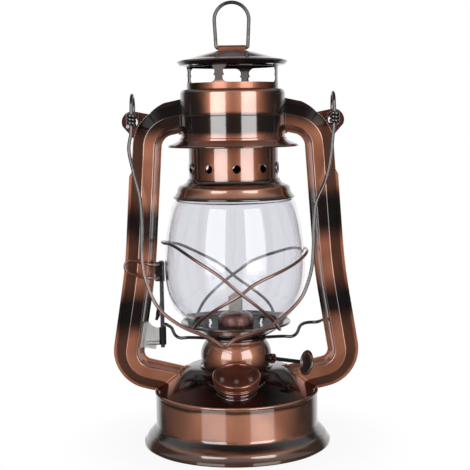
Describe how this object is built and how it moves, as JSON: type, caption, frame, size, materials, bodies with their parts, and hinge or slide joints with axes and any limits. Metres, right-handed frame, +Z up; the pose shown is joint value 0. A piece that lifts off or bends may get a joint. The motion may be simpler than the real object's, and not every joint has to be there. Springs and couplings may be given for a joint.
{
  "type": "hurricane lantern",
  "caption": "Hot-blast tubular lantern: domed tank, wick burner, glass globe that lifts, side tubes, vented hood, wire bail and top loop.",
  "frame": {"origin": "centre of the foot's flat ring, on the surface that the lantern stands on", "axes": "+Z up along the lamp's axis, -Y to the front with the filler cap, +X towards the side of the wick knob"},
  "size_m": [0.1512, 0.115, 0.2701],
  "materials": {
    "copper": "copper-coloured lacquer, glossy",
    "smoked": "copper lacquer shaded to dark brown, glossy",
    "black_wire": "black lacquered steel",
    "bail_finish": "steel wire lacquered black above and copper below",
    "bare_steel": "bare steel",
    "spring_steel": "bright spring steel",
    "globe_glass": "clear glass, polished",
    "cotton": "woven cotton tape",
    "fibre": "pressed fibre"
  },
  "bodies": {
    "frame": {"tank_wall": "copper", "tank_bottom": "smoked", "tank_top": "smoked", "filler_neck": "smoked", "burner_collar": "copper", "burner_housing": "copper", "burner_deck": "smoked", "burner_cone": "copper", "wick_tube": "bare_steel", "shaft_bush": "copper", "lift_bracket": "bare_steel", "hood_drum": "copper", "hood_skirt": "copper", "tube_left_front": "copper", "tube_left_back": "copper", "tube_right_front": "copper", "tube_right_back": "copper", "ear_left": "copper", "ear_right": "copper", "chimney_spring": "spring_steel"},
    "globe_carrier": {"globe_plate": "black_wire", "globe": "globe_glass", "guard_wire_left": "copper", "guard_wire_right": "copper", "lift_wire": "black_wire", "lift_rod": "black_wire", "lift_grip": "copper", "lift_knuckle": "black_wire", "catch_strip": "black_wire"},
    "chimney": {"globe_holder": "copper", "chimney_tube": "copper", "vent_drum": "copper", "cap": "copper", "loop_strap": "copper", "spring_seat": "spring_steel"},
    "carrying_loop": {"top_loop": "copper"},
    "handle": {"bail": "bail_finish"},
    "wick_winder": {"wick_shaft": "black_wire", "wick_wheels": "bare_steel", "wick_knob": "copper"},
    "wick_body": {"wick": "cotton"},
    "cap_gasket": {"filler_gasket": "fibre"},
    "fuel_cap": {"filler_cap": "copper"}
  },
  "joints": [
    {"name": "globe_lift", "type": "slide", "parent": "frame", "child": "globe_carrier", "axis": [0, 0, 1], "range_m": [0, 0.01]},
    {"name": "chimney_raise", "type": "slide", "parent": "globe_carrier", "child": "chimney", "axis": [0, 0, 1], "range_m": [0, 0.011], "stiffness_N_per_m": 120, "springref_m": -0.02, "deforming": ["chimney_spring"]},
    {"name": "loop_fold", "type": "hinge", "parent": "chimney", "child": "carrying_loop", "pos_m": [0, 0, 0.24185], "axis": [1, 0, 0], "range_deg": [-85, 85]},
    {"name": "bail_swing", "type": "hinge", "parent": "frame", "child": "handle", "pos_m": [0, 0, 0.2063], "axis": [-1, 0, 0], "range_deg": [0, 166]},
    {"name": "wick_turn", "type": "hinge", "parent": "frame", "child": "wick_winder", "pos_m": [0.00257, 0.00381, 0.0535], "axis": [0.829, -0.5592, 0], "range_deg": [-49, 131]},
    {"name": "wick_rise", "type": "slide", "parent": "frame", "child": "wick_body", "axis": [0, 0, 1], "range_m": [-0.00801, 0.003]},
    {"name": "cap_turn", "type": "hinge", "parent": "cap_gasket", "child": "fuel_cap", "pos_m": [0, -0.038, 0.0503], "axis": [0, -0.3322, 0.9432], "range_deg": [0, 540]},
    {"name": "cap_rise", "type": "slide", "parent": "frame", "child": "cap_gasket", "axis": [0, -0.3322, 0.9432], "range_m": [0, 0.0038]}
  ],
  "couplings": [
    {"joint": "wick_rise", "follows": "wick_turn", "m_per_rad": -0.0035},
    {"joint": "cap_rise", "follows": "cap_turn", "m_per_rad": 0.00039789}
  ]
}
